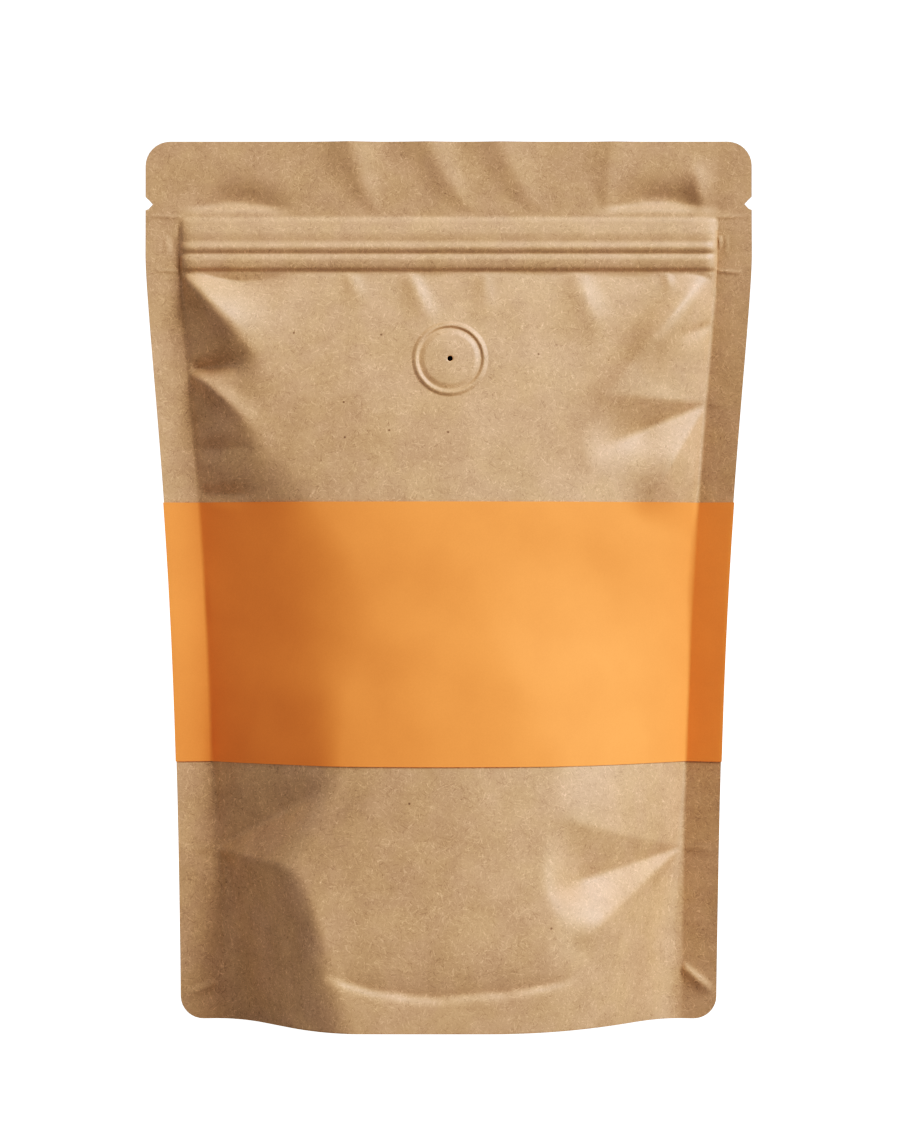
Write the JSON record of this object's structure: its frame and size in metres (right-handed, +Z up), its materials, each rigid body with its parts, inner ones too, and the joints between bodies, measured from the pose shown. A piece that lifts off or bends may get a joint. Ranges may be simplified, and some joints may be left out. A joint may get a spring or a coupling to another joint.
{
  "type": "stand-up coffee pouch",
  "caption": "Filled kraft paper stand-up pouch with side seals, bottom gusset, press-to-close ridge, one-way valve and a wrapped paper band.",
  "frame": {"origin": "on the floor, under the middle of the pouch's box", "axes": "+X to the pouch's right side as seen from the front, +Y from the front to the back, +Z up along its height"},
  "size_m": [0.16, 0.0628, 0.2314],
  "materials": {
    "kraft_paper": "matte brown kraft with fine fibres and a slight sheen",
    "band_paper": "smooth matte orange"
  },
  "bodies": {
    "root": {"pouch": "kraft_paper", "label_band": "band_paper"}
  },
  "joints": []
}
